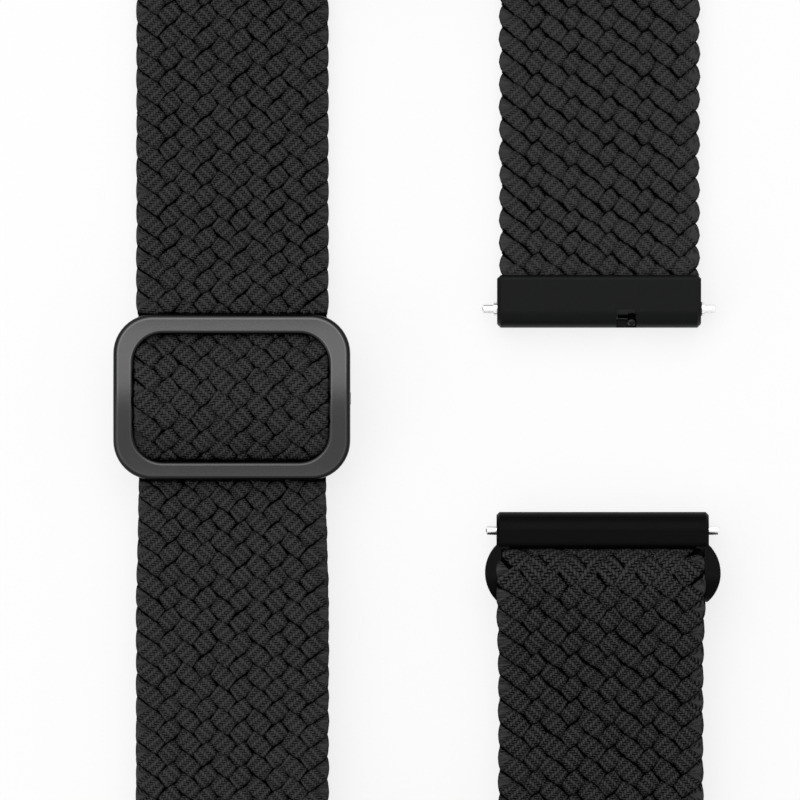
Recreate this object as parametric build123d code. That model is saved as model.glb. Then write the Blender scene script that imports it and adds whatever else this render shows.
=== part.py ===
from build123d import *
import math
import os

# Braided elastic watch strap for a watch with 18 mm lugs, laid down as an open C.
# Millimetres. +X runs across the two columns, +Y up them, +Z away from the floor.
# The strap starts in the fixed end cap, turns at the top, comes down the left
# column through the slider, turns at the bottom, and loops round the crossbar of
# the loop connector. From there its tail runs back under it to the slider's pin.

# Layout of the open C
left_column_x = -15.5
cap_column_x = 15.45
loop_column_x = 15.75
straight_half = 34.2
turn_flat_share = 0.35
turn_steps = 48
ease_steps = 5
back_steps = 4
under_steps = 3

# Watch side
lug_gap = 18.0
cut_overrun = 1.0

# Braided band, a little wider towards the loop
band_to_lugs_left = 0.775
band_to_lugs_cap = 0.7
band_to_lugs_loop = 0.325
band_thick = 2.1
pressed_thick = 1.85
layer_gap = 0.15
edge_ease_share = 0.45
edge_drop_share = 0.25

# Spring bar, the same in both ends
tube_r = 0.9
tube_bore_r = 0.75
tube_to_lugs = 0.65
tube_end_wall = 0.35
tip_r = 0.4
tip_reach = 0.85
tip_chamfer = 0.1
shoulder_r = 0.6
shoulder_to_lug = 0.1
plunger_length = 6.4
fixed_plug_length = 3.6
run_clearance = 0.04
bar_seat_clearance = 0.04
release_travel = 0.9
lever_inset = 1.15
lever_stem_r = 0.22
lever_head_r = 0.35
lever_head_top = 1.75
lever_lean = 45.0
lever_clearance = 0.05
spring_outer_r = 0.55
spring_inner_r = 0.35

# Fixed end cap
cap_to_lugs = 0.4
cap_depth = 4.45
cap_lug_edge_y = 6.1
cap_thick = 3.4
cap_bar_inset = 1.6
cap_nose_r = 1.35
cap_mouth_r = 0.4
cap_end_r = 0.3
cap_pocket_depth = 1.5
cap_wall = 0.4
pocket_clearance = 0.05
cap_fall_length = 5.5

# Loop connector
loop_to_lugs = 0.05
loop_lug_edge_y = -9.45
loop_bar_depth = 3.05
loop_bar_thick = 3.9
loop_bar_inset = 1.55
loop_nose_r = 1.5
loop_inner_r = 0.5
loop_end_r = 0.25
ear_side_width = 1.35
ear_to_band = 0.1
ear_arm_r = 1.5
ear_boss_r = 1.9
ear_tip_width = 0.25
ear_start_share = 0.2
ear_widest_share = 0.6
window_corner_r = 0.7
foot_length = 1.1
foot_height = 1.2
foot_r = 0.15
crossbar_r = 0.8
crossbar_clearance = 0.05
bight_gap = 0.12
bight_cover = 0.05
bight_side_gap = 0.3
bight_length = 8.4

# Slider
slider_y = 0.25
slider_side_width = 1.65
slider_end_depth = 1.4
slider_height = 13.7
slider_thick = 1.7
slider_outer_r = 2.5
window_to_band = 0.125
window_shift_y = -0.12
window_r = 1.7
slider_edge = 0.4
pin_r = 0.7
pin_clearance = 0.02
pin_axis_z = 2.1
cheek_boss_drop = 1.1
cheek_belly_half = 4.7
fold_thick = 1.3
fold_tail_thick = 1.55
fold_end_thick = 1.1
fold_end_length = 2.8
slider_side_gap = 0.25
hump_lead = 8.15

# Widths worked out from the gap between the lugs
band_width_left = lug_gap - 2 * band_to_lugs_left
band_width_cap = lug_gap - 2 * band_to_lugs_cap
band_width_loop = lug_gap - 2 * band_to_lugs_loop
tube_length = lug_gap - 2 * tube_to_lugs
cap_width = lug_gap - 2 * cap_to_lugs
loop_bar_width = lug_gap - 2 * loop_to_lugs
ear_window = band_width_loop - 2 * ear_to_band
ear_width = ear_window + 2 * ear_side_width
window_width = band_width_left + 2 * window_to_band
slider_width = window_width + 2 * slider_side_width

# Heights worked out from the stack of layers
single_z = band_thick / 2
upper_layer_z = band_thick + layer_gap + band_thick / 2
cap_axis_z = cap_thick / 2
cap_pocket_width = cap_width - 2 * cap_wall
cap_pocket_thick = pressed_thick + 2 * pocket_clearance
loop_axis_z = loop_bar_thick / 2
crossbar_z = pressed_thick + crossbar_clearance + crossbar_r
bight_r = crossbar_r + crossbar_clearance + pressed_thick
crossbar_y = loop_lug_edge_y - loop_bar_depth + bight_cover - bight_r
fold_r = pin_r + pin_clearance + fold_thick
hump_peak_z = pin_axis_z + fold_r + layer_gap + pressed_thick / 2
hump_low_z = fold_tail_thick + 2 * layer_gap + pressed_thick / 2
frame_low_z = hump_low_z + pressed_thick / 2 + 2 * layer_gap
window_height = slider_height - 2 * slider_end_depth
hump_half = slider_height / 2 + hump_lead
cap_strap_edge_y = cap_lug_edge_y + cap_depth
cap_axis_y = cap_lug_edge_y + cap_bar_inset
loop_axis_y = loop_lug_edge_y - loop_bar_inset
pin_y = slider_y + window_shift_y
pin_half = slider_width / 2
tube_half = tube_length / 2
lever_x = tube_half - tube_end_wall - plunger_length + lever_inset
tip_end_x = lug_gap / 2 + tip_reach
shoulder_end_x = lug_gap / 2 - shoulder_to_lug


def ease(share):
    """Smooth step from 0 to 1."""
    share = min(max(share, 0.0), 1.0)
    return share * share * (3 - 2 * share)


def between(low, high, share):
    """Value part of the way from low to high."""
    return low + (high - low) * share


def rod_x(radius, x_from, x_to):
    """Round rod along X."""
    middle = (x_from + x_to) / 2
    return Pos(middle, 0, 0) * Rot(0, 90, 0) * Cylinder(radius, x_to - x_from)


def flat_oval_corners(width, thick):
    """Corners of the band's cross-section: flat on both faces, with eased edges."""
    half_width = width / 2
    half_thick = thick / 2
    flat = half_width - thick * edge_ease_share
    side = half_thick - thick * edge_drop_share
    right = [(half_width, -side), (half_width, side), (flat, half_thick)]
    left = [(-flat, half_thick), (-half_width, side), (-half_width, -side)]
    return [*right, *left, (-flat, -half_thick), (flat, -half_thick)]


def flat_oval(width, thick):
    """Cross-section of the band as a face."""
    return make_face(Polyline(*flat_oval_corners(width, thick), close=True))


def flat_stations(x, ends_y, ends_z, ends_width, ends_thick, count):
    """Stations of a flat run along Y whose height, width and thickness ease from one end to the other."""
    rise = ends_z[1] - ends_z[0]
    length = ends_y[1] - ends_y[0]
    stations = []
    for step in range(count + 1):
        share = step / count
        soft = ease(share)
        place = Vector(x, between(*ends_y, share), between(*ends_z, soft))
        slope = 6 * share * (1 - share) * rise / abs(length)
        along = Vector(0, math.copysign(1, length), slope).normalized()
        width = between(*ends_width, soft)
        thick = between(*ends_thick, soft)
        stations.append((place, Vector(1, 0, 0), along, width, thick))
    return stations


def turn_path(span):
    """Plan of a turn in its own frame: it leaves the start along +Y and comes back span to the left.
    The band bends only as far as it stands on its edge. Rows are (x, y, heading, twist)."""
    twists = []
    weights = []
    for step in range(turn_steps + 1):
        distance = abs(2 * step / turn_steps - 1)
        twists.append(math.pi / 2 * ease((1 - distance) / (1 - turn_flat_share)))
    for step in range(turn_steps):
        weights.append(math.sin((twists[step] + twists[step + 1]) / 2))
    total = sum(weights)
    headings = [0.0]
    for weight in weights:
        headings.append(headings[-1] + math.pi * weight / total)
    middles = [(a + b) / 2 for a, b in zip(headings, headings[1:])]
    stride = span / sum(math.sin(middle) for middle in middles)
    x = 0.0
    y = 0.0
    rows = [(x, y, headings[0], twists[0])]
    for middle, heading, twist in zip(middles, headings[1:], twists[1:]):
        x -= stride * math.sin(middle)
        y += stride * math.cos(middle)
        rows.append((x, y, heading, twist))
    return rows


def turn_reach(span):
    """How far a turn goes beyond the straight columns, to the middle of the band."""
    return max(row[1] for row in turn_path(span))


def turn_stations(start_x, start_y, side, span, widths, stack, offset):
    """Stations of one layer in a turn. side is 1 at the top and -1 at the bottom, stack is the thickness
    of all the layers there, and offset moves this layer outwards from their middle."""
    stations = []
    for step, (x, y, heading, twist) in enumerate(turn_path(span)):
        width = between(*widths, ease(step / turn_steps))
        outward = Vector(math.cos(heading), math.sin(heading), 0) * side
        along = Vector(-math.sin(heading), math.cos(heading), 0) * side
        across = Vector(0, 0, math.sin(twist)) - outward * math.cos(twist)
        face = outward * math.sin(twist) + Vector(0, 0, math.cos(twist))
        height = width / 2 * math.sin(twist) + stack / 2 * math.cos(twist)
        place = Vector(start_x + side * x, start_y + side * y, height) + face * offset
        stations.append((place, across, along, width, band_thick))
    return stations


def band(stations):
    """Closed solid of a stretch of the band that lies flat, through its stations."""
    sections = []
    for place, across, along, width, thick in stations:
        plane = Plane(origin=place, x_dir=across, z_dir=along)
        sections.append(plane * flat_oval(width, thick))
    return loft(sections, ruled=True)


def twisted_band(stations):
    """Closed solid of a stretch of the band that twists. Each twisted side between two stations is two
    flat facets, split the same way on both faces so that two layers nest."""
    rings = []
    for place, across, along, width, thick in stations:
        plane = Plane(origin=place, x_dir=across, z_dir=along)
        rings.append([plane.from_local_coords(corner) for corner in flat_oval_corners(width, thick)])
    facets = [Face(Wire.make_polygon(rings[0])), Face(Wire.make_polygon(rings[-1]))]
    count = len(rings[0])
    upper = list(range(count // 2 + 1))
    lower = [0, *range(count - 1, count // 2 - 1, -1)]
    sides = [*zip(upper, upper[1:]), *zip(lower, lower[1:])]
    for near, far in zip(rings, rings[1:]):
        for right, left in sides:
            facets.append(Face(Wire.make_polygon([near[right], near[left], far[left]])))
            facets.append(Face(Wire.make_polygon([near[right], far[left], far[right]])))
    return Solid(Shell(facets))


def curl(place, inner_r, thick, width):
    """Half turn of the band round a bar along X at a place, open towards -Y."""
    section = Plane.XZ * Pos(0, -inner_r - thick / 2) * flat_oval(width, thick)
    return place * revolve(section, Axis.X, revolution_arc=180)


def cap_run():
    """Strap from the cap's pocket down to the floor and along to the top turn."""
    mouth_y = cap_strap_edge_y - cap_pocket_depth
    land_y = cap_strap_edge_y + cap_fall_length
    pocket_width = cap_pocket_width - 2 * pocket_clearance
    entry = flat_stations(
        cap_column_x,
        (mouth_y, cap_strap_edge_y),
        (cap_axis_z, cap_axis_z),
        (pocket_width, pocket_width),
        (pressed_thick, pressed_thick),
        1,
    )
    fall = flat_stations(
        cap_column_x,
        (cap_strap_edge_y, land_y),
        (cap_axis_z, single_z),
        (pocket_width, band_width_cap),
        (pressed_thick, band_thick),
        ease_steps,
    )
    run = flat_stations(
        cap_column_x,
        (land_y, straight_half),
        (single_z, single_z),
        (band_width_cap, band_width_cap),
        (band_thick, band_thick),
        1,
    )
    return band(entry) + band(fall) + band(run)


def top_turn():
    """Single layer from the cap column over to the left column."""
    span = cap_column_x - left_column_x
    widths = (band_width_cap, band_width_left)
    return twisted_band(turn_stations(cap_column_x, straight_half, 1, span, widths, band_thick, 0))


def bottom_turn(layer):
    """One of the two layers from the left column over to the loop column: layer 1 is the outer one."""
    span = loop_column_x - left_column_x
    widths = (band_width_left, band_width_loop)
    stack = 2 * band_thick + layer_gap
    offset = layer * (band_thick + layer_gap) / 2
    return twisted_band(turn_stations(left_column_x, -straight_half, -1, span, widths, stack, offset))


def straight_run(x, from_y, to_y, z, width):
    """Straight stretch of the band along Y."""
    return band(flat_stations(x, (from_y, to_y), (z, z), (width, width), (band_thick, band_thick), 1))


def slider_hump():
    """Strap threaded through the slider: under its bottom bar, over its pin, and under its top bar."""
    low_bar_y = slider_y - (slider_height + window_height) / 4
    top_bar_y = slider_y + (slider_height + window_height) / 4
    width = window_width - 2 * slider_side_gap
    heights = (upper_layer_z, hump_low_z, hump_peak_z, hump_low_z, single_z)
    widths = (band_width_left, width, width, width, band_width_left)
    thicks = (band_thick, pressed_thick, pressed_thick, pressed_thick, band_thick)
    places = (slider_y - hump_half, low_bar_y, pin_y, top_bar_y, slider_y + hump_half)
    stations = []
    for part in range(len(places) - 1):
        stretch = flat_stations(
            left_column_x,
            places[part : part + 2],
            heights[part : part + 2],
            widths[part : part + 2],
            thicks[part : part + 2],
            ease_steps,
        )
        stations += stretch[1:] if stations else stretch
    return band(stations)


def tail_fold():
    """End of the tail, folded round the slider's pin and sewn down on itself."""
    low_bar_y = slider_y - (slider_height + window_height) / 4
    width = window_width - 2 * slider_side_gap
    low_z = pin_axis_z - pin_r - pin_clearance - fold_thick / 2
    top_z = pin_axis_z + pin_r + pin_clearance + fold_thick / 2
    rest_z = fold_tail_thick + fold_end_thick / 2
    come = flat_stations(
        left_column_x,
        (slider_y - hump_half, low_bar_y),
        (single_z, fold_tail_thick / 2),
        (band_width_left, width),
        (band_thick, fold_tail_thick),
        ease_steps,
    )
    under = flat_stations(
        left_column_x,
        (low_bar_y, pin_y),
        (fold_tail_thick / 2, low_z),
        (width, width),
        (fold_tail_thick, fold_thick),
        under_steps,
    )
    back = flat_stations(
        left_column_x,
        (pin_y, pin_y - fold_end_length),
        (top_z, rest_z),
        (width, width),
        (fold_thick, fold_end_thick),
        back_steps,
    )
    half = curl(Pos(left_column_x, pin_y, pin_axis_z), pin_r + pin_clearance, fold_thick, width)
    solid = band(come + under[1:]) + half + band(back)
    return solid - slider_pin_hole()


def bight():
    """Strap looped round the connector's crossbar, both layers."""
    width = ear_window - 2 * bight_side_gap
    end_y = crossbar_y - bight_length
    low_z = crossbar_z - crossbar_r - crossbar_clearance - pressed_thick / 2
    top_z = crossbar_z + crossbar_r + crossbar_clearance + pressed_thick / 2
    widths = (band_width_loop, width)
    thicks = (band_thick, pressed_thick)
    ends_y = (end_y, crossbar_y)
    lower = flat_stations(loop_column_x, ends_y, (single_z, low_z), widths, thicks, ease_steps)
    upper = flat_stations(loop_column_x, ends_y, (upper_layer_z, top_z), widths, thicks, ease_steps)
    place = Pos(loop_column_x, crossbar_y, crossbar_z)
    inner_r = crossbar_r + crossbar_clearance
    half = curl(place, inner_r, pressed_thick, width)
    hole = place * rod_x(inner_r, -band_width_loop, band_width_loop)
    return band(lower) + half + band(upper) - hole


def slider_outline():
    """Outer face of the slider's ring, in plan."""
    return Pos(left_column_x, slider_y) * RectangleRounded(slider_width, slider_height, slider_outer_r)


def slider_pin_hole():
    """Hole for the pin, right through both cheeks."""
    radius = pin_r + pin_clearance
    return Pos(left_column_x, pin_y, pin_axis_z) * rod_x(radius, -slider_width, slider_width)


def slider_frame():
    """Ring with rounded corners and a bevelled rim, whose side bars deepen into cheeks that hold the pin."""
    window = Pos(left_column_x, pin_y) * RectangleRounded(window_width, window_height, window_r)
    ring = Pos(0, 0, frame_low_z) * extrude(slider_outline(), slider_thick)
    rim = ring.faces().sort_by(Axis.Z)[-1].edges()
    ring = chamfer(rim, slider_edge)
    boss_z = pin_axis_z - cheek_boss_drop
    inset_z = frame_low_z + slider_edge
    chord = Polyline((pin_y + cheek_belly_half, inset_z), (pin_y - cheek_belly_half, inset_z))
    belly = ThreePointArc(
        (pin_y - cheek_belly_half, inset_z), (pin_y, boss_z), (pin_y + cheek_belly_half, inset_z)
    )
    side = Plane.YZ * make_face([*chord.edges(), belly])
    cheeks = extrude(side, slider_width / 2, both=True)
    column = extrude(slider_outline(), frame_low_z + slider_thick)
    cheeks = Pos(left_column_x, 0, 0) * cheeks & column
    opening = extrude(window, frame_low_z + slider_thick + cut_overrun)
    frame = ring + cheeks - opening - slider_pin_hole()
    inner_rim = frame.faces().sort_by(Axis.Z)[-1].inner_wires()[0].edges()
    return chamfer(inner_rim, slider_edge / 2)


def slider_pin():
    """Pin pressed through both cheeks, its ends flush with them."""
    pin = rod_x(pin_r, -pin_half, pin_half)
    pin = chamfer(pin.edges().filter_by(GeomType.CIRCLE), slider_edge / 2)
    return Pos(left_column_x, pin_y, pin_axis_z) * pin


def bar_tube():
    """Steel tube with a slot for the release lever and one end rolled in behind the plunger."""
    tube = rod_x(tube_r, -tube_half, tube_half)
    tube -= rod_x(tube_bore_r, -tube_half - cut_overrun, tube_half - tube_end_wall)
    tube -= rod_x(shoulder_r + run_clearance, 0, tube_half + cut_overrun)
    half_slot = lever_stem_r + lever_clearance
    slot = Box(release_travel + 2 * half_slot, 2 * half_slot, tube_r + cut_overrun)
    slot = Pos(lever_x - release_travel / 2, 0, (tube_r + cut_overrun) / 2) * slot
    return tube - Rot(lever_lean, 0, 0) * slot


def bar_tip(inner_x, body_r, body_end_x):
    """Tip with its shoulder, on a plug or plunger that starts at inner_x."""
    tip = rod_x(tip_r, shoulder_end_x, tip_end_x)
    rim = tip.edges().filter_by(GeomType.CIRCLE).sort_by(Axis.X)[-1]
    tip = chamfer(rim, tip_chamfer)
    return tip + rod_x(shoulder_r, body_end_x, shoulder_end_x) + rod_x(body_r, inner_x, body_end_x)


def bar_fixed_tip():
    """Tip whose plug is pressed into the open end of the tube."""
    return Rot(0, 0, 180) * bar_tip(tube_half - fixed_plug_length, tube_bore_r, tube_half)


def bar_sliding_tip():
    """Tip whose plunger slides in the tube, with a hole for the lever's stem."""
    end_x = tube_half - tube_end_wall
    tip = bar_tip(end_x - plunger_length, tube_bore_r - run_clearance, end_x)
    hole = Pos(lever_x, 0, tube_r / 2) * Cylinder(lever_stem_r, tube_r)
    return tip - Rot(lever_lean, 0, 0) * hole


def bar_lever():
    """Release lever: a stem pressed into the plunger and a round head to push with a nail."""
    head_low = tube_r + lever_clearance
    stem = Pos(lever_x, 0, head_low / 2) * Cylinder(lever_stem_r, head_low)
    head = Cylinder(lever_head_r, lever_head_top - head_low)
    head = chamfer(head.edges().filter_by(GeomType.CIRCLE).sort_by(Axis.Z)[-1], lever_stem_r / 2)
    head = Pos(lever_x, 0, (lever_head_top + head_low) / 2) * head
    return Rot(lever_lean, 0, 0) * (stem + head)


def bar_spring():
    """Spring between the fixed plug and the plunger, as a sleeve of its outer size."""
    start_x = fixed_plug_length - tube_half
    end_x = tube_half - tube_end_wall - plunger_length
    return rod_x(spring_outer_r, start_x, end_x) - rod_x(spring_inner_r, start_x, end_x)


def lever_slot(reach):
    """Notch in a housing's lug edge and one face, in which the lever's head travels."""
    half_head = lever_head_r + lever_clearance
    low_x = lever_x - release_travel - half_head
    high_x = lever_x + half_head
    size = reach + cut_overrun
    slot = Box(high_x - low_x, size, size + half_head)
    return Pos((low_x + high_x) / 2, -size / 2, (size - half_head) / 2) * slot


def cap_housing():
    """Solid end cap: the strap is bonded in its pocket and the spring bar lies in its bore."""
    profile = Rectangle(cap_depth, cap_thick)
    corners = profile.vertices().sort_by(Axis.X)
    profile = fillet(corners[:2], cap_nose_r)
    mouth = profile.vertices().sort_by(Axis.X)[-2:]
    profile = fillet(mouth, cap_mouth_r)
    body = extrude(Plane.YZ * profile, cap_width / 2, both=True)
    ends = body.faces().filter_by(Axis.X).edges()
    body = chamfer(ends, cap_end_r)
    body = Pos(0, cap_depth / 2 - cap_bar_inset, 0) * body
    pocket_middle = cap_depth - cap_bar_inset - cap_pocket_depth / 2 + cut_overrun / 2
    pocket = Plane.XZ * flat_oval(cap_pocket_width, cap_pocket_thick)
    pocket = extrude(pocket, (cap_pocket_depth + cut_overrun) / 2, both=True)
    body -= Pos(0, pocket_middle, 0) * pocket
    body -= rod_x(tube_r + bar_seat_clearance, -cap_width, cap_width)
    return body - lever_slot(cap_thick / 2)


def loop_bar():
    """Lug bar of the loop connector, with a foot that runs out under the bight."""
    profile = Rectangle(loop_bar_depth, loop_bar_thick)
    profile = fillet(profile.vertices().sort_by(Axis.X)[-2:], loop_nose_r)
    inner = profile.vertices().sort_by(Axis.X)[:2].sort_by(Axis.Y)
    profile = fillet(inner[-1], loop_inner_r)
    body = extrude(Plane.YZ * profile, loop_bar_width / 2, both=True)
    body = chamfer(body.faces().filter_by(Axis.X).edges(), loop_end_r)
    body = Pos(0, loop_bar_inset - loop_bar_depth / 2, 0) * body
    foot = Rectangle(foot_length + loop_inner_r, foot_height)
    foot = fillet(foot.vertices().sort_by(Axis.X)[:2], foot_r)
    foot = extrude(Plane.YZ * foot, ear_window / 2, both=True)
    foot_y = loop_bar_inset - loop_bar_depth - (foot_length - loop_inner_r) / 2
    return body + Pos(0, foot_y, (foot_height - loop_bar_thick) / 2) * foot


def loop_ears():
    """Pair of ears: bowed in plan, and in side view a tapering arm that ends in the crossbar's boss."""
    back = crossbar_y - loop_axis_y
    rise = crossbar_z - loop_axis_z
    arm = Pos(-ear_arm_r / 2, 0) * Circle(ear_arm_r)
    boss = Pos(back, rise) * Circle(ear_boss_r)
    side = make_hull([*arm.edges(), *boss.edges()])
    block = extrude(Plane.YZ * side, ear_width / 2, both=True)
    end_y = back - ear_boss_r
    start_y = end_y * ear_start_share
    widest_y = end_y * ear_widest_share
    inner_x = ear_window / 2
    bar_edge_y = loop_bar_inset - loop_bar_depth
    start = (loop_bar_width / 2, start_y)
    tip_in = (inner_x, end_y)
    tip_out = (inner_x + ear_tip_width, end_y)
    corner_low = (inner_x, bar_edge_y - window_corner_r)
    corner_high = (inner_x - window_corner_r, bar_edge_y)
    bow = ThreePointArc(start, (ear_width / 2, widest_y), tip_out)
    side_line = Polyline(tip_out, tip_in, corner_low)
    corner = RadiusArc(corner_low, corner_high, -window_corner_r)
    back_line = Polyline(corner_high, (inner_x - window_corner_r, start_y), start)
    plan = make_face([bow, *side_line.edges(), corner, *back_line.edges()])
    tall = extrude(plan, ear_width, both=True)
    ear = block & tall
    return ear + mirror(ear, Plane.YZ)


def loop_connector():
    """Connector in one piece: lug bar, two ears and the crossbar that the strap loops round. The bar is
    hollowed concentric with the crossbar, where the bight turns."""
    back = crossbar_y - loop_axis_y
    rise = crossbar_z - loop_axis_z
    cross_half = ear_window / 2 + crossbar_r / 2
    cross = Pos(0, back, rise) * rod_x(crossbar_r, -cross_half, cross_half)
    hollow = Pos(0, back, rise) * rod_x(bight_r + bight_gap, -ear_window / 2, ear_window / 2)
    body = loop_bar() + loop_ears() - hollow + cross
    body -= rod_x(tube_r + bar_seat_clearance, -loop_bar_width, loop_bar_width)
    return body - Rot(180, 0, 0) * lever_slot(loop_bar_thick / 2)


def spring_bar(prefix, place):
    """The five pieces of a spring bar, named for the end that they sit in."""
    return {
        prefix + "_bar_tube": place * bar_tube(),
        prefix + "_bar_fixed_tip": place * bar_fixed_tip(),
        prefix + "_bar_sliding_tip": place * bar_sliding_tip(),
        prefix + "_release_lever": place * bar_lever(),
        prefix + "_bar_spring": place * bar_spring(),
    }


cap_place = Pos(cap_column_x, cap_axis_y, cap_axis_z)
loop_place = Pos(loop_column_x, loop_axis_y, loop_axis_z)

# The origin is under the middle of the whole strap, on the floor
reach_left = left_column_x - slider_width / 2
reach_right = loop_column_x + max(ear_width / 2, tip_end_x)
reach_top = straight_half + turn_reach(cap_column_x - left_column_x) + band_thick / 2
reach_bottom = straight_half + turn_reach(loop_column_x - left_column_x) + band_thick + layer_gap / 2
origin_x = (reach_left + reach_right) / 2
origin_y = (reach_top - reach_bottom) / 2

hump_low_y = slider_y - hump_half
hump_high_y = slider_y + hump_half
bight_end_y = crossbar_y - bight_length

pieces = {
    "cap_run": cap_run(),
    "top_turn": top_turn(),
    "upper_run": straight_run(left_column_x, hump_high_y, straight_half, single_z, band_width_left),
    "slider_hump": slider_hump(),
    "lower_run": straight_run(left_column_x, hump_low_y, -straight_half, upper_layer_z, band_width_left),
    "lower_tail": straight_run(left_column_x, hump_low_y, -straight_half, single_z, band_width_left),
    "tail_fold": tail_fold(),
    "bottom_turn_outer": bottom_turn(1),
    "bottom_turn_inner": bottom_turn(-1),
    "loop_run": straight_run(loop_column_x, -straight_half, bight_end_y, upper_layer_z, band_width_loop),
    "loop_tail": straight_run(loop_column_x, -straight_half, bight_end_y, single_z, band_width_loop),
    "bight": bight(),
    "slider_frame": slider_frame(),
    "slider_pin": slider_pin(),
    "cap_housing": cap_place * cap_housing(),
    "loop_connector": loop_place * loop_connector(),
}
pieces.update(spring_bar("cap", cap_place))
pieces.update(spring_bar("loop", loop_place * Rot(180, 0, 0)))

os.makedirs("parts", exist_ok=True)
for name, piece in pieces.items():
    export_step(Pos(-origin_x, -origin_y, 0) * piece, "parts/" + name + ".step")
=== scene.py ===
import math
import bpy
import numpy as np
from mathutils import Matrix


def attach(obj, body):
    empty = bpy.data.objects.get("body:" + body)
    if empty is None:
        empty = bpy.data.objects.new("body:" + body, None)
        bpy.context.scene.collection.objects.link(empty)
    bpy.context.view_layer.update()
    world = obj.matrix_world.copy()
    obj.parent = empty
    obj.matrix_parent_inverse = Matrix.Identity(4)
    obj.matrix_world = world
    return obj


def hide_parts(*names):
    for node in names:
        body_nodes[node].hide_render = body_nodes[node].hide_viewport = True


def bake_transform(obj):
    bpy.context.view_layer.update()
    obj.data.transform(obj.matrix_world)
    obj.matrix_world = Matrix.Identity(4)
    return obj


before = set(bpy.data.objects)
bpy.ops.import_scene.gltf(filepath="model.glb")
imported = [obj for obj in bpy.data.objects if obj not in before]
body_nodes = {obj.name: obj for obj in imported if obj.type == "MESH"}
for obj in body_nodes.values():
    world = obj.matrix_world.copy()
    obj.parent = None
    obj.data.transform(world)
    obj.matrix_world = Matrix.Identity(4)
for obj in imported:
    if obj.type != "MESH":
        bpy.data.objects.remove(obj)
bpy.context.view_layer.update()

MM = 0.001

# Studio. A white floor, a wide soft box overhead, a weaker one low on the left,
# and a pale room all round, so that black yarn and dark metal keep their own colours.


def linear(red, green, blue):
    """Colour of the screen's 0 to 255 numbers as the linear numbers that a socket takes."""
    shares = [value / 255 for value in (red, green, blue)]
    return tuple(s / 12.92 if s <= 0.04045 else ((s + 0.055) / 1.055) ** 2.4 for s in shares) + (1.0,)


def new_object(name, data):
    """A new object in the scene."""
    made = bpy.data.objects.new(name, data)
    bpy.context.scene.collection.objects.link(made)
    return made


def empty_tree(owner):
    """The node tree of a material or a world, emptied."""
    owner.use_nodes = True
    owner.node_tree.nodes.clear()
    return owner.node_tree


class Out:
    """An output socket of a node tree. Arithmetic on it adds Math nodes and gives a new Out."""

    def __init__(self, tree, socket):
        self.tree = tree
        self.socket = socket

    def node(self, kind, settings=None, inputs=None, output=0):
        """A node of any kind, in the same tree."""
        return add_node(self.tree, kind, settings, inputs, output)

    def maths(self, operation, *values):
        """One Math node on these values."""
        inputs = dict(enumerate(values))
        return add_node(self.tree, "ShaderNodeMath", {"operation": operation}, inputs)

    def __add__(self, other):
        return self.maths("ADD", self, other)

    def __radd__(self, other):
        return self.maths("ADD", other, self)

    def __sub__(self, other):
        return self.maths("SUBTRACT", self, other)

    def __rsub__(self, other):
        return self.maths("SUBTRACT", other, self)

    def __mul__(self, other):
        return self.maths("MULTIPLY", self, other)

    def __rmul__(self, other):
        return self.maths("MULTIPLY", other, self)

    def __truediv__(self, other):
        return self.maths("DIVIDE", self, other)

    def __pow__(self, other):
        return self.maths("POWER", self, other)

    def wave(self):
        """Sine of pi times this: 0 at whole numbers, 1 halfway in the first one."""
        return self.maths("SINE", self * math.pi)

    def within(self, length):
        """This modulo a length, always from 0 up."""
        return self.maths("FLOORED_MODULO", self, length)

    def floor(self):
        return self.maths("FLOOR", self)

    def below(self, limit):
        """1 where this is under the limit, else 0."""
        return self.maths("LESS_THAN", self, limit)

    def step(self, low, high):
        """Smooth step: 0 under low, 1 over high."""
        inputs = {0: self, 1: low, 2: high, 3: 0.0, 4: 1.0}
        return self.node("ShaderNodeMapRange", {"interpolation_type": "SMOOTHSTEP"}, inputs)


def add_node(tree, kind, settings=None, inputs=None, output=0):
    """Adds a node, applies its settings, then sets or links its sockets. Gives one of its outputs."""
    made = tree.nodes.new(kind)
    for name, value in (settings or {}).items():
        setattr(made, name, value)
    for name, value in (inputs or {}).items():
        if isinstance(value, Out):
            tree.links.new(value.socket, made.inputs[name])
        else:
            made.inputs[name].default_value = value
    return Out(tree, made.outputs[output])


def mix_colour(factor, first, second):
    """Colour between two by a factor."""
    settings = {"data_type": "RGBA", "blend_type": "MIX"}
    return factor.node("ShaderNodeMix", settings, {0: factor, 6: first, 7: second}, 2)


def surface(name, values, build=None):
    """A material with one Principled shader. values set its sockets; build(tree) gives those that vary."""
    material = bpy.data.materials.new(name)
    tree = empty_tree(material)
    sockets = dict(values)
    if build:
        sockets.update(build(tree))
    shader = add_node(tree, "ShaderNodeBsdfPrincipled", None, sockets)
    add_node_output(tree, shader)
    return material


def add_node_output(tree, shader):
    """Material output for a shader."""
    output = tree.nodes.new("ShaderNodeOutputMaterial")
    tree.links.new(shader.socket, output.inputs["Surface"])


white = (1.0, 1.0, 1.0, 1.0)
floor_half = 1.2
floor_drop = 0.0002
floor_white = linear(250, 250, 250)
floor_shadow_share = 0.22
room_light_share = 0.5


def seen_ways(tree):
    """1 for rays from the camera, also by way of a mirror or glass, and 0 for the others."""
    path = tree.nodes.new("ShaderNodeLightPath")
    camera = Out(tree, path.outputs["Is Camera Ray"])
    glossy = Out(tree, path.outputs["Is Glossy Ray"])
    clear = Out(tree, path.outputs["Is Transmission Ray"])
    return camera.maths("MAXIMUM", camera.maths("MAXIMUM", camera, glossy), clear)


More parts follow.
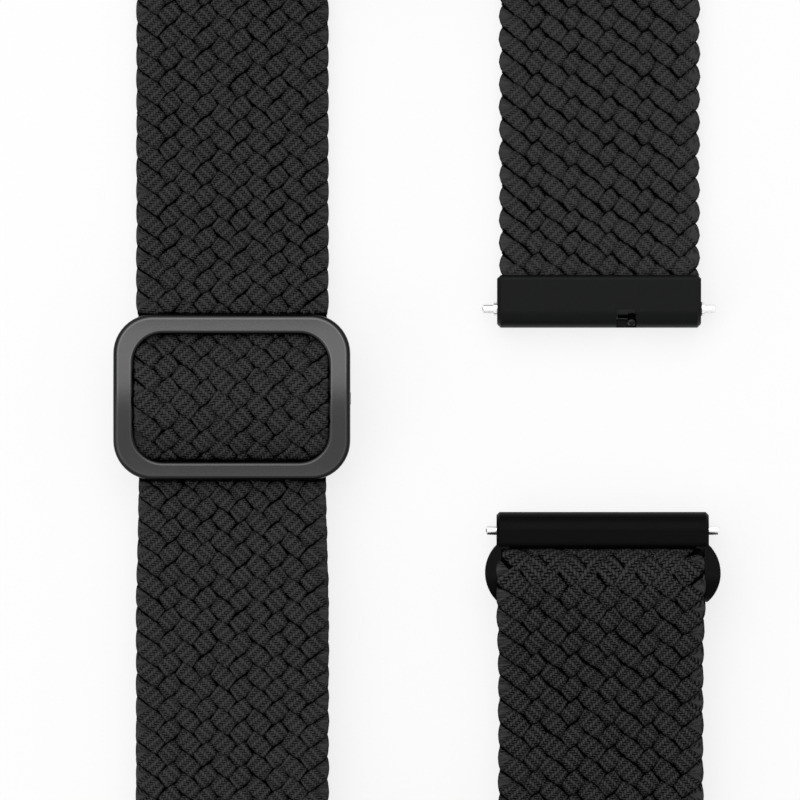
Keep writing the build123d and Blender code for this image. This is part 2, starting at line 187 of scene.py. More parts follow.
def floor_surface():
    """White floor: part lit as any surface, so that it keeps a soft shadow, and the rest plain white to
    the camera and in reflections."""
    material = bpy.data.materials.new("floor_white")
    tree = empty_tree(material)
    lit = add_node(tree, "ShaderNodeBsdfDiffuse", None, {"Color": floor_white})
    plain = add_node(tree, "ShaderNodeEmission", None, {"Color": white, "Strength": 1.0})
    share = seen_ways(tree) * (1 - floor_shadow_share)
    add_node_output(tree, add_node(tree, "ShaderNodeMixShader", None, {0: share, 1: lit, 2: plain}))
    return material


floor_mesh = bpy.data.meshes.new("floor")
floor_corners = [(x * floor_half, y * floor_half, 0) for x, y in ((-1, -1), (1, -1), (1, 1), (-1, 1))]
floor_mesh.from_pydata(floor_corners, [], [(0, 1, 2, 3)])
floor_object = new_object("floor", floor_mesh)
floor_mesh.materials.append(floor_surface())
floor_object.location.z = -floor_drop

room = bpy.data.worlds.new("room")
bpy.context.scene.world = room
room_tree = empty_tree(room)
room_dim = add_node(room_tree, "ShaderNodeBackground", None, {"Color": white, "Strength": room_light_share})
room_white = add_node(room_tree, "ShaderNodeBackground", None, {"Color": white, "Strength": 1.0})
room_mixed = add_node(room_tree, "ShaderNodeMixShader", None, {0: seen_ways(room_tree), 1: room_dim, 2: room_white})
room_output = room_tree.nodes.new("ShaderNodeOutputWorld")
room_tree.links.new(room_mixed.socket, room_output.inputs["Surface"])

# Soft boxes that point at the origin: name, place and size in metres, and watts.
lamps = [
    ("overhead_box", (-0.10, 0.392, 0.80), (0.9, 0.8), 4.7),
    ("left_box", (-0.50, -0.20, 0.45), (0.4, 0.4), 0.8),
]
for name, place, size, power in lamps:
    lamp = bpy.data.lights.new(name, "AREA")
    lamp.shape = "RECTANGLE"
    lamp.size, lamp.size_y = size
    lamp.energy = power
    holder = new_object(name, lamp)
    aim = -np.array(place)
    yaw = math.atan2(aim[1], aim[0])
    pitch = math.atan2(math.hypot(aim[0], aim[1]), -aim[2])
    holder.location = place
    holder.rotation_euler = (pitch, 0, yaw - math.pi / 2)

bpy.context.scene.view_settings.view_transform = "Standard"

# Camera, straight above. The photograph's 800 pixels are 67.51 mm, at 11.85 pixels to the millimetre.
view_width = 67.51
view_centre = (-1.438, 0.674)
view_plane_z = 2.5
lens = 700.0
sensor = 36.0
camera_data = bpy.data.cameras.new("camera")
camera_data.lens = lens
camera_data.sensor_width = sensor
camera_data.clip_start = 0.01
camera_data.clip_end = 10.0
camera = new_object("camera", camera_data)
view_height = view_plane_z + view_width * lens / sensor
camera.location = (view_centre[0] * MM, view_centre[1] * MM, view_height * MM)
bpy.context.scene.camera = camera


# The strap's route. One braided length is bonded in the end cap's pocket, turns on its edge at the top,
# threads the slider, turns at the bottom, goes round the loop connector's crossbar, and comes back
# underneath to the slider's pin, where its tail is folded and sewn. Millimetres, in the frame's axes.
left_x = -15.5875
cap_x = 15.41
loop_x = 15.5
shift_y = 0.67415
straight_end = 34.2
band_thick = 2.1
pressed_thick = 1.85
layer_gap = 0.15
single_z = band_thick / 2
upper_z = band_thick + layer_gap + band_thick / 2
width_left = 16.52
width_cap = 17.2
width_loop = 17.52
pocket_width = 17.2
pocket_mouth_y = 9.05 + shift_y
pocket_edge_y = 10.55 + shift_y
cap_land_y = 16.05 + shift_y
cap_axis_z = 1.7
pin_axis_z = 2.1
pin_y = 0.13 + shift_y
low_bar_y = -5.9 + shift_y
top_bar_y = 6.4 + shift_y
hump_ends = (15.25 + shift_y, -14.75 + shift_y)
hump_low_z = 2.775
hump_peak_z = 5.195
window_band = 17.25
slider_y = 0.25 + shift_y
neck_places = (-17.0, -12.0, -7.0, -6.0, -5.5, 5.5, 6.0, 6.9, 7.7, 16.0)
neck_widths = (width_left, 16.22, 16.05, 16.05, window_band, window_band, 16.2, 16.3, width_left, width_left)
crossbar_y = -15.15 + shift_y
crossbar_z = 2.7
crossbar_reach = 1.775
bight_width = 17.9
bight_corner = 0.6
bight_end_y = crossbar_y - 8.4
tail_low_z = 0.775
tail_thick = 1.55
fold_reach = 1.37
fold_thick = 1.3
fold_end_y = pin_y - 2.8
fold_end_z = 2.1
fold_end_thick = 1.1
route_step = 0.05
turn_rows = 960
turn_flat_share = 0.35
arch_share = 0.85
bar_corner_power = 8


def running_sum(values):
    """Sums along the last axis, from 0 on."""
    return np.concatenate([np.zeros((*values.shape[:-1], 1)), np.cumsum(values, axis=-1)], axis=-1)


def running_length(points):
    """Length along lines of points, from 0 on."""
    return running_sum(np.linalg.norm(np.diff(points, axis=-2), axis=-1))


def ease(share):
    """Smooth step from 0 to 1."""
    share = np.clip(share, 0.0, 1.0)
    return share * share * (3 - 2 * share)


def flat_stretch(x, ends_y, ends_z, widths, thicks, across_sign, arch=None):
    """Rows (place, across, face, width, thick) of a run along Y whose height, width and thickness ease
    from one end to the other. across_sign gives the side that the across direction points to. An arch of
    "up" or "down" is half a bow over the pin: nearly a parabola with its top at the end or the start."""
    length = abs(ends_y[1] - ends_y[0])
    share = np.linspace(0, 1, max(int(length / route_step), 2))
    soft = ease(share)
    rise = {None: soft, "up": 1 - (1 - share) ** 2, "down": share**2}[arch] * arch_share + soft * (1 - arch_share)
    y = ends_y[0] + (ends_y[1] - ends_y[0]) * share
    z = ends_z[0] + (ends_z[1] - ends_z[0]) * rise
    place = np.stack([np.full_like(share, x), y, z], 1)
    along = np.gradient(place, axis=0)
    along /= np.linalg.norm(along, axis=1, keepdims=True)
    across = np.tile([across_sign, 0.0, 0.0], (len(share), 1))
    face = np.cross(along, across)
    width = widths[0] + (widths[1] - widths[0]) * soft
    thick = thicks[0] + (thicks[1] - thicks[0]) * soft
    return place, across, face, width, thick


def round_bar(x, y, z, reach, across_sign, width, thicks, from_top, corner=0.0):
    """Rows of a half turn round a bar along X, on its +Y side: the place goes round a half circle, and
    the face points away from the bar. The width loses twice the corner at the turn's far side."""
    share = np.linspace(0, 1, int(math.pi * reach / route_step))
    angle = math.pi * (0.5 - share) if from_top else math.pi * (share - 0.5)
    face = np.stack([np.zeros_like(share), np.cos(angle), np.sin(angle)], 1)
    place = np.array([x, y, z]) + reach * face
    across = np.tile([across_sign, 0.0, 0.0], (len(share), 1))
    thick = thicks[0] + (thicks[1] - thicks[0]) * ease(share)
    return place, across, face, width - 2 * corner * ease(np.cos(angle) ** bar_corner_power), thick


def edge_turn(start_x, start_y, side, span, widths, stack, offset):
    """Rows of a turn that the strap makes standing on its edge: the twist eases from flat to upright and
    back, the heading grows with the sine of the twist, and one edge stays on the floor."""
    share = np.arange(turn_rows + 1) / turn_rows
    twist = math.pi / 2 * ease((1 - abs(2 * share - 1)) / (1 - turn_flat_share))
    weight = np.sin((twist[1:] + twist[:-1]) / 2)
    heading = running_sum(weight) / weight.sum() * math.pi
    middle = (heading[1:] + heading[:-1]) / 2
    stride = span / np.sin(middle).sum()
    x = -running_sum(stride * np.sin(middle))
    y = running_sum(stride * np.cos(middle))
    zero = np.zeros_like(heading)
    up = np.array([0.0, 0.0, 1.0])
    outward = side * np.stack([np.cos(heading), np.sin(heading), zero], 1)
    across = np.sin(twist)[:, None] * up - outward * np.cos(twist)[:, None]
    face = outward * np.sin(twist)[:, None] + np.cos(twist)[:, None] * up
    width = widths[0] + (widths[1] - widths[0]) * ease(share)
    height = width / 2 * np.sin(twist) + stack / 2 * np.cos(twist)
    place = np.stack([start_x + side * x, start_y + side * y, height], 1) + face * offset
    return place, across, face, width, np.full_like(width, band_thick)


def reversed_back(rows):
    """The same stretch walked the other way, seen from its back."""
    place, across, face, width, thick = rows
    return place[::-1], across[::-1], -face[::-1], width[::-1], thick[::-1]


def route():
    """The whole strap as named stretches, in order."""
    top_y = straight_end + shift_y
    low_y = -straight_end + shift_y
    full = (band_thick, band_thick)
    press = (pressed_thick, pressed_thick)
    pressing = (band_thick, pressed_thick)
    easing = (pressed_thick, band_thick)
    cap_span = cap_x - left_x
    loop_span = loop_x - left_x
    stack = 2 * band_thick + layer_gap
    nest = (band_thick + layer_gap) / 2
    pocket = (pocket_width, pocket_width)
    cap = (width_cap, width_cap)
    left = (width_left, width_left)
    loop = (width_loop, width_loop)
    window = (window_band, window_band)
    to_window = (width_left, window_band)
    to_bar = (width_loop, bight_width)
    hump_top, hump_end = hump_ends
    fall_z = (cap_axis_z, single_z)
    tail_z = (single_z, tail_low_z)
    bar_top = crossbar_z + crossbar_reach
    bar_low = crossbar_z - crossbar_reach
    bar = (crossbar_y, crossbar_z, crossbar_reach)
    pin = (pin_y, pin_axis_z, fold_reach)
    low_turn = (left_x, low_y, -1, loop_span, (width_left, width_loop), stack)
    into_fold = (tail_low_z, pin_axis_z - fold_reach)
    out_of_fold = (pin_axis_z + fold_reach, fold_end_z)
    return [
        ("pocket", flat_stretch(cap_x, (pocket_mouth_y, pocket_edge_y), (cap_axis_z,) * 2, pocket, press, -1)),
        ("fall", flat_stretch(cap_x, (pocket_edge_y, cap_land_y), fall_z, (pocket_width, width_cap), easing, -1)),
        ("cap_straight", flat_stretch(cap_x, (cap_land_y, top_y), (single_z,) * 2, cap, full, -1)),
        ("top_turn", edge_turn(cap_x, top_y, 1, cap_span, (width_cap, width_left), band_thick, 0)),
        ("upper_run", flat_stretch(left_x, (top_y, hump_top), (single_z,) * 2, left, full, 1)),
        ("hump_1", flat_stretch(left_x, (hump_top, top_bar_y), (single_z, hump_low_z), to_window, pressing, 1)),
        ("hump_2", flat_stretch(left_x, (top_bar_y, pin_y), (hump_low_z, hump_peak_z), window, press, 1, "up")),
        ("hump_3", flat_stretch(left_x, (pin_y, low_bar_y), (hump_peak_z, hump_low_z), window, press, 1, "down")),
        ("hump_4", flat_stretch(left_x, (low_bar_y, hump_end), (hump_low_z, upper_z), to_window[::-1], easing, 1)),
        ("lower_run", flat_stretch(left_x, (hump_end, low_y), (upper_z,) * 2, left, full, 1)),
        ("outer_turn", edge_turn(*low_turn, nest)),
        ("loop_run", flat_stretch(loop_x, (low_y, bight_end_y), (upper_z,) * 2, loop, full, -1)),
        ("bight_1", flat_stretch(loop_x, (bight_end_y, crossbar_y), (upper_z, bar_top), to_bar, pressing, -1)),
        ("bight_2", round_bar(loop_x, *bar, -1, bight_width, press, True, bight_corner)),
        ("bight_3", flat_stretch(loop_x, (crossbar_y, bight_end_y), (bar_low, single_z), to_bar[::-1], easing, -1)),
        ("loop_tail", flat_stretch(loop_x, (bight_end_y, low_y), (single_z,) * 2, loop, full, -1)),
        ("inner_turn", reversed_back(edge_turn(*low_turn, -nest))),
        ("lower_tail", flat_stretch(left_x, (low_y, hump_end), (single_z,) * 2, left, full, 1)),
        ("fold_1", flat_stretch(left_x, (hump_end, low_bar_y), tail_z, to_window, (band_thick, tail_thick), 1)),
        ("fold_2", flat_stretch(left_x, (low_bar_y, pin_y), into_fold, window, (tail_thick, fold_thick), 1)),
        ("fold_3", round_bar(left_x, *pin, 1, window_band, (fold_thick,) * 2, False)),
        ("fold_4", flat_stretch(left_x, (pin_y, fold_end_y), out_of_fold, window, (fold_thick, fold_end_thick), 1)),
    ]


route_rows = route()
route_columns = [np.concatenate([rows[i] for _, rows in route_rows]) for i in range(5)]
route_place, route_across, route_face, route_width, route_thick = route_columns

# The strap is narrower where the slider's bars press it, and wider in the window.
off_slider = route_place[:, 1] - slider_y
by_slider = (off_slider > neck_places[0]) & (off_slider < neck_places[-1]) & (np.abs(route_place[:, 0] - left_x) < 0.01)
route_width = np.where(by_slider, np.interp(off_slider, neck_places, neck_widths), route_width)
route_length = running_length(route_place)
stretch_ends = {}
row_count = 0
for stretch_name, rows in route_rows:
    first = row_count
    row_count += len(rows[0])
    stretch_ends[stretch_name] = (route_length[first], route_length[row_count - 1])

# The braid. Eleven soft strands, each a fine polyester braid over rubber cores, cross over one and under
# one, which makes ten columns of crossings. A strand's place across the strap is a zigzag of the step
# number, two steps to one pitch. Only the end cap's glue and the stitches at the fold hold the strap.
strand_count = 11
strand_cycle = 2 * strand_count
braid_half = strand_count / 2
strand_width = 1.47
turn_start = 4.85
turn_soft = 0.25
strand_flare = 0.5
strand_thick = 1.02
strand_rise = 0.5
lean = 0.45
edge_reach = 5.1
edge_depth = 0.95
edge_give = 0.5
ring_shares = (0.0, 0.2, 0.33, 0.41, 0.47, 0.53, 0.59, 0.67, 0.8)
dive_half = 0.08
ring_points = 16
hand_width = 16.45


def length_at(name, y):
    """Length of the strap at a place along Y in a stretch of the left column, which runs down."""
    first, last = stretch_ends[name]
    inside = (route_length >= first) & (route_length <= last)
    return float(np.interp(-y, -route_place[inside, 1], route_length[inside]))


def step_knots():
    """Step number against length. Each stretch that shows has the photograph's pitch and starts at its own
    step; what is left over is taken up under the slider's bars and in the turns."""
    shown_from = [0.0, stretch_ends["top_turn"][1], bar_marks[0][1], bar_marks[1][1], stretch_ends["outer_turn"][1]]
    past_end = route_length[-1] + 1.0
    shown_to = [stretch_ends["top_turn"][0], bar_marks[0][0], bar_marks[1][0], stretch_ends["outer_turn"][0], past_end]
    rows = []
    step = 0.0
    for first, last, pitch, offset in zip(shown_from, shown_to, pitches, start_steps):
        if rows:
            step += (first - rows[-1][0]) / (natural_pitch / 2)
        rows.append((first, step + offset))
        step += (last - first) / (pitch / 2)
        rows.append((last, step + offset))
    return np.array(rows)


# One value for each stretch that shows: the cap's column, the left column above, in and below the
# slider, and the loop's column.
pitches = (1.916, 1.895, 1.970, 1.870, 1.990)
start_steps = (0.755, 0.725, 0.609, -0.166, 0.882)
natural_pitch = 1.9
bar_edges = [(("hump_1", 7.0), ("hump_2", 5.7)), (("hump_3", -5.4), ("hump_4", -6.5))]
bar_marks = [tuple(length_at(name, y + shift_y) for name, y in pair) for pair in bar_edges]
knots = step_knots()
knot_length = knots[:, 0]
knot_step = knots[:, 1]
assert np.all(np.diff(knot_step) > 0)
top_flip = round(float(np.interp(sum(stretch_ends["top_turn"]) / 2, knot_length, knot_step)))
low_flip = round(float(np.interp(sum(stretch_ends["outer_turn"]) / 2, knot_length, knot_step)))


def over_signs(numbers):
    """Which hand of the braid is on top at each whole step: it changes at the two hidden rows that
    go over two."""
    return np.where((numbers > top_flip) & (numbers <= low_flip), 1.0, -1.0)


def base_height(phase):
    """Height of a strand at a whole step of its own cycle: over is 1, under is -1, and 0 at an edge."""
    half = strand_count
    going = np.where(phase % 2 == 1, 1.0, -1.0)
    coming = np.where((phase - half - 1) % 2 == 0, 1.0, -1.0)
    height = np.where(phase < half, going, coming)
    return np.where((phase == 0) | (phase == half), 0.0, height)


def crossing_height(number, strand):
    """Height of each strand at a whole step number."""
    phase = np.mod(number - 2 * strand, strand_cycle)
    return over_signs(number) * base_height(phase)


def strand_lines(steps, edge_soft, overlap, slack):
    """Centre lines of all the strands at these step numbers: place across in strand widths, height, step
    number run ahead, the way across as +1 or -1, and how far it is in its turn at the edge. A strand stays
    up or down for most of a step and dives halfway, and slack makes the coming ones dive more gently. It
    runs ahead of the strap where it leaves the top and lags where it comes up. At the edge its place
    follows a soft minimum of the zigzag and the reach."""
    strand = np.arange(strand_count)[:, None]
    number = np.floor(steps)[None, :]
    part = (steps - np.floor(steps))[None, :]
    here = crossing_height(number, strand)
    there = crossing_height(number + 1, strand)
    phase = np.mod(steps[None, :] - 2 * strand, strand_cycle)
    hand = np.where(phase < strand_count, 1.0, -1.0)
    dive = 0.5 + overlap * (hand > 0) * np.sign(here - there)
    reach = dive_half + slack * (hand < 0)
    height = here + (there - here) * ease((part - dive + reach) / (2 * reach))
    height = height * (1 + overlap * (hand > 0))
    ahead = lean / math.pi * np.sin(math.pi * part) * (here - there) / 2
    zigzag = np.where(phase < strand_count, phase - braid_half, 1.5 * strand_count - phase)
    out = np.abs(zigzag)
    turning = ease((out - turn_start) / turn_soft)
    out = (out + edge_reach - np.sqrt((out - edge_reach) ** 2 + edge_soft**2)) / 2
    way = hand * np.clip((braid_half - np.abs(zigzag)) * 2, 0, 1)
    return np.sign(zigzag) * out, height, steps[None, :] + ahead, way, turning


def sample(column, lengths):
    """Rows of one column of the route at these lengths."""
    if column.ndim == 1:
        return np.interp(lengths, route_length, column)
    return np.stack([np.interp(lengths, route_length, column[:, i]) for i in range(3)], -1)


def unit(vectors):
    """Vectors of length 1 in the same directions."""
    return vectors / np.maximum(np.linalg.norm(vectors, axis=-1, keepdims=True), 1e-9)


def local_pull(lengths, side, rise):
    """How much longer the strap is at this distance across and above its middle line than along it: more
    than 1 on the outside of a bend. It is a short chord's length there over its length in the middle."""
    ends_of_chord = []
    for shift in (-pull_half, pull_half):
        place = sample(route_place, lengths + shift)
        aside = sample(route_across, lengths + shift) * side[..., None]
        above = sample(route_face, lengths + shift) * rise[..., None]
        ends_of_chord.append(place + aside + above)
    return np.linalg.norm(ends_of_chord[1] - ends_of_chord[0], axis=-1) / (2 * pull_half)


def wobble(steps, kind):
    """Small unevenness of the tension, the sum of two waves: each is the sine of shares of the step number,
    the strand's number, its square and the kind."""
    strand = np.arange(strand_count)[:, None]
    slow, quick = (np.sin(a * steps + b * strand + c * strand**2 + d * kind) for a, b, c, d in uneven_waves)
    return unevenness * (slow + quick)


def along_strap(lengths, column):
    """A value that changes from one visible stretch to the next, eased in the hidden ones. Column 0 is the
    cap's column, 1 to 3 the left one above, in and below the slider, and 4 the loop's."""
    marks = [stretch_ends["top_turn"], *bar_marks, stretch_ends["outer_turn"]]
    value = np.full_like(lengths, column[0])
    for mark, before, after in zip(marks, column, column[1:]):
        value += (after - before) * ease((lengths - mark[0]) / (mark[1] - mark[0]))
    return value


pull_half = 0.3
pull_power = 0.8
pull_limits = (0.7, 2.5)
surface_rise = 1.6
upright_gain = 0.22
pinch_reach = 0.27
shade_sides = 0.8
shade_dip = 0.1
step_nudge = 0.02
edge_softness = (0.5, 0.22, 0.22, 0.22, 0.3)
edge_pressing = (0.45, 1.0, 1.0, 1.0, 0.8)
unevenness = 0.034
uneven_waves = ((0.83, 2.1, 0.0, 1.3), (1.91, 4.7, 0.9, 2.9))
section_powers = (2.2, 3.1, 2.7, 3.1, 2.5)
row_tilts = (0.02, 0.065, 0.041, 0.033, 0.014)
contrast_powers = (1.5, 1.5, 1.5, 1.5, 2.3)
relief_levels = (0.8, 1.0, 1.0, 1.0, 1.0)
relief_at_edges = (0.3, 0.45, 0.45, 0.45, 0.3)
end_pinches = (0.15, 0.13, 0.14, 0.13, 0.15)
hand_overlaps = (0.13, 0.05, 0.06, 0.05, 0.09)
hand_slacks = (0.16, 0.0, 0.0, 0.0, 0.08)


slider_size = (19.97, 13.95)
window_size = (16.4, 10.75)
window_centre = (left_x - 0.09, pin_y + 0.06)
tuck_depths = (0.3, 0.7)
tuck_start = 0.1
frame_inside = 0.5


def tucked(points):
    """How open to the light points are beside the slider's frame, from 0 to 1: the shadow is a smooth step
    of the distance from the frame's outline outside it, and from the window's edge inside it."""
    off_y = np.abs(points[..., 1] - slider_y) - slider_size[1] / 2
    from_edge_x = window_size[0] / 2 - np.abs(points[..., 0] - window_centre[0])
    from_edge_y = window_size[1] / 2 - np.abs(points[..., 1] - window_centre[1])
    low = points[..., 1] < window_centre[1]
    depth = np.where(low, tuck_depths[1], tuck_depths[0])
    inside = ease((from_edge_x + tuck_start) / tuck_depths[0]) * ease((from_edge_y + tuck_start) / depth)
    near = np.abs(points[..., 0] - left_x) < slider_size[0]
    return np.where(near, np.where(off_y > -frame_inside, ease(off_y / tuck_depths[0]), inside), 1.0)


def centre_lines(steps, plain_length):
    """The strands' centre lines by name, at step numbers near those of these lengths: their place level
    with the strap's middle, the rise from there, and the strap's own frame and size at that place."""
    edge_soft = along_strap(plain_length, edge_softness)
    overlap = along_strap(plain_length, hand_overlaps)
    slack = along_strap(plain_length, hand_slacks)
    across_share, height, ahead, way, turning = strand_lines(steps, edge_soft, overlap, slack)
    length = np.interp(ahead, knot_step, knot_length)
    side = across_share * (sample(route_width, length) / strand_count) + wobble(ahead, 0) * (1 - turning)
    length = length + side * along_strap(plain_length, row_tilts)
    thick = sample(route_thick, length)
    across = unit(sample(route_across, length))
    return {
        "level": sample(route_place, length) + across * side[..., None],
        "rise": height * strand_rise * thick / band_thick,
        "across": across,
        "face": unit(sample(route_face, length)),
        "width": sample(route_width, length),
        "thick": thick,
        "side": side,
        "length": length,
        "height": height,
        "way": way,
        "turning": turning,
    }


def edge_press(points, line, plain_length):
    """How points move in across the strap at its rounded edges. Beyond a free reach their distance grows
    as one less an exponential, towards the edge depth."""
    across = line["across"][:, :, None, :]
    middle = line["level"] - line["across"] * line["side"][..., None]
    reach = ((points - middle[:, :, None, :]) * across).sum(-1)
    beyond = np.maximum(np.abs(reach) - (line["width"][..., None] / 2 - edge_depth), 0)
    pressed = edge_depth * (1 - np.exp(-beyond / edge_give)) - beyond
    pressing = along_strap(plain_length, edge_pressing)[None, :, None]
    return across * (np.sign(reach) * pressed * pressing)[..., None]


def strand_values(points, line, plain_length, round_y):
    """What the yarn's material reads at each point: the shade, which falls to 0 where a strand dips and at
    its sides, its way across the strap, the depth of its fine relief, and the contrast."""
    facing = line["height"][..., None] * np.sign(round_y)[None]
    open_share = np.maximum(ease((facing + shade_dip) / (1 + shade_dip)), line["turning"][..., None])
    shade = tucked(points) * ease(np.abs(round_y)[None] / shade_sides) * open_share
    at_edge = along_strap(plain_length, relief_at_edges)
    relief = along_strap(plain_length, relief_levels) * (at_edge + (1 - at_edge) * np.abs(line["way"]))
    contrast = along_strap(plain_length, contrast_powers)
    values = {"shade": shade, "way": line["way"][..., None], "relief": relief[..., None]}
    values["contrast"] = contrast[None, :, None]
    return {key: np.broadcast_to(value, shade.shape) for key, value in values.items()}


def strand_tubes(first_length, last_length):
    """Surface points of all the strands between two lengths of the strap, as an array of strand by ring by
    point, with each point's place along and around its strand, and its values. The section is a
    superellipse square to the strand, pinched at the ends of the part that shows and flared below it."""
    first = np.interp(first_length, knot_length, knot_step)
    last = np.interp(last_length, knot_length, knot_step)
    steps = (np.arange(math.floor(first), math.ceil(last))[:, None] + np.array(ring_shares)).ravel()
    steps = np.concatenate([[first], steps[(steps > first + step_nudge) & (steps < last - step_nudge)], [last]])
    plain_length = np.interp(steps, knot_step, knot_length)
    before, line, after = (centre_lines(steps + shift, plain_length) for shift in (-step_nudge, 0.0, step_nudge))
    face, height = line["face"], line["height"]
    forward = unit(after["level"] - before["level"])
    up = unit(face - forward * (face * forward).sum(-1, keepdims=True))
    aside = np.cross(forward, up)
    angle = np.arange(ring_points) / ring_points * 2 * math.pi
    power = 2 / along_strap(plain_length, section_powers)[:, None]
    round_x = np.sign(np.cos(angle)) * np.abs(np.cos(angle)) ** power
    round_y = np.sign(np.sin(angle)) * np.abs(np.sin(angle)) ** power
    pull = local_pull(line["length"], line["side"], line["rise"] * surface_rise)
    pull = np.clip(pull, *pull_limits) ** pull_power
    upright = 1 + upright_gain * np.abs(line["across"][..., 2])
    uneven = 1 + wobble(steps[None, :], 1)
    half_width = strand_width / 2 * (line["width"] / hand_width) * uneven * pull * upright
    half_thick = strand_thick / 2 * line["thick"] / band_thick
    pinch = along_strap(plain_length, end_pinches) * ease(1 - np.abs(steps - np.floor(steps) - 0.5) / pinch_reach)
    showing = np.clip(0.5 + height[..., None] * round_y[None], 0, 1)
    narrowing = (pinch * (1 - line["turning"]) / pull**4)[..., None] * showing
    flare = strand_flare * np.clip(-height[..., None] * round_y[None], 0, 1)
    points = (
        (line["level"] + face * line["rise"][..., None])[:, :, None, :]
        + aside[:, :, None, :] * (half_width[..., None] * round_x[None] * (1 + flare - narrowing))[..., None]
        + up[:, :, None, :] * (half_thick[..., None] * round_y[None])[..., None]
    )
    points += edge_press(points, line, plain_length)
    section = np.stack([round_x * strand_width / 2, round_y * strand_thick / 2], -1)
    around = running_sum(np.linalg.norm(np.roll(section, -1, axis=1) - section, axis=-1))
    along = running_length(line["level"]) + first_length
    return points, along, around, strand_values(points, line, plain_length, round_y)


def tube_mesh(name, points, along, around, values):
    """Mesh of closed tubes from an array of tube by ring by point, with flat ends. Its UV map holds the
    place around and along the tube in millimetres, and values are kept at its points."""
    tubes, rings, count = points.shape[:3]
    index = np.arange(tubes * rings * count).reshape(tubes, rings, count)
    here = index[:, :-1, :]
    nearby = np.roll(index, -1, axis=2)[:, :-1, :]
    next_here = index[:, 1:, :]
    next_nearby = np.roll(index, -1, axis=2)[:, 1:, :]
    quads = np.stack([here, nearby, next_nearby, next_here], -1).reshape(-1, 4)
    ends = np.concatenate([index[:, 0, ::-1], index[:, -1, :]])
    mesh = bpy.data.meshes.new(name)
    corners = np.concatenate([quads.ravel(), ends.ravel()])
    starts = np.concatenate([np.arange(len(quads)) * 4, len(quads) * 4 + np.arange(len(ends)) * count])
    totals = np.concatenate([np.full(len(quads), 4), np.full(len(ends), count)])
    mesh.vertices.add(points.size // 3)
    mesh.vertices.foreach_set("co", (points * MM).astype(np.float32).ravel())
    mesh.loops.add(len(corners))
    mesh.loops.foreach_set("vertex_index", corners.astype(np.int32))
    mesh.polygons.add(len(starts))
    mesh.polygons.foreach_set("loop_start", starts.astype(np.int32))
    mesh.polygons.foreach_set("loop_total", totals.astype(np.int32))
    mesh.polygons.foreach_set("use_smooth", np.concatenate([np.ones(len(quads), bool), np.zeros(len(ends), bool)]))
    around_here, around_next, along_here, along_next = np.broadcast_arrays(
        around[None, :-1, :-1], around[None, :-1, 1:], along[:, :-1, None], along[:, 1:, None]
    )
    uv_quads = np.stack(
        [around_here, along_here, around_next, along_here, around_next, along_next, around_here, along_next], -1
    )
    uv = np.concatenate([uv_quads.ravel(), np.zeros(ends.size * 2)])
    mesh.uv_layers.new(name="strand").data.foreach_set("uv", uv.astype(np.float32))
    for key, value in values.items():
        mesh.attributes.new(key, "FLOAT", "POINT").data.foreach_set("value", value.astype(np.float32).ravel())
    mesh.update(calc_edges=True)
    mesh.validate()
    return new_object(name, mesh)


float_width = 0.207
float_cell = 0.21
float_slope = math.radians(40.0)
float_cycle = 4.0
level_cells = 1.5
cross_round = 1.5
along_round = 0.6
end_round = 0.4
under_height = 0.5
wander_scale = 1500.0
wander_reach = 0.7
fuzz_scale = 5200.0
fuzz_share = 0.7
patch_scale = 420.0
patch_share = 0.5
tone_gain = 1.2
crease_steps = (0.25, 0.9)
crease_relief = 0.35
crease_level = 0.7
fuzz_rise = 0.25
bump_depth = 0.04
yarn_bump = 0.5
# Yarn colours: yarn_light on the tops of the floats, yarn_dark in the grooves between them as painted shade, and
# painted_crease_shade, black, where the strands' shade value falls.
yarn_light = linear(60, 60, 61)
yarn_dark = linear(3, 3, 3)
painted_crease_shade = linear(0, 0, 0)


def own_value(tree, key):
    """A value kept at the mesh's points."""
    return add_node(tree, "ShaderNodeAttribute", {"attribute_name": key}, None, 2)


def tube_place(tree):
    """The place around and along a tube, in millimetres, from its UV map."""
    uv = add_node(tree, "ShaderNodeUVMap", {"uv_map": "strand"})
    around = add_node(tree, "ShaderNodeSeparateXYZ", None, {0: uv})
    return around, Out(tree, around.socket.node.outputs[1])


def own_place(tree):
    """The place in the object's own coordinates, in metres."""
    return add_node(tree, "ShaderNodeTexCoord", None, None, 3)


def noise(tree, place, scale, detail):
    """Soft noise about one half."""
    return add_node(tree, "ShaderNodeTexNoise", None, {"Vector": place, "Scale": scale, "Detail": detail})


def bumps(tree, height, strength, depth):
    """A normal that follows a height, whose full size is a depth in millimetres."""
    return add_node(tree, "ShaderNodeBump", None, {"Height": height, "Strength": strength, "Distance": depth * MM})


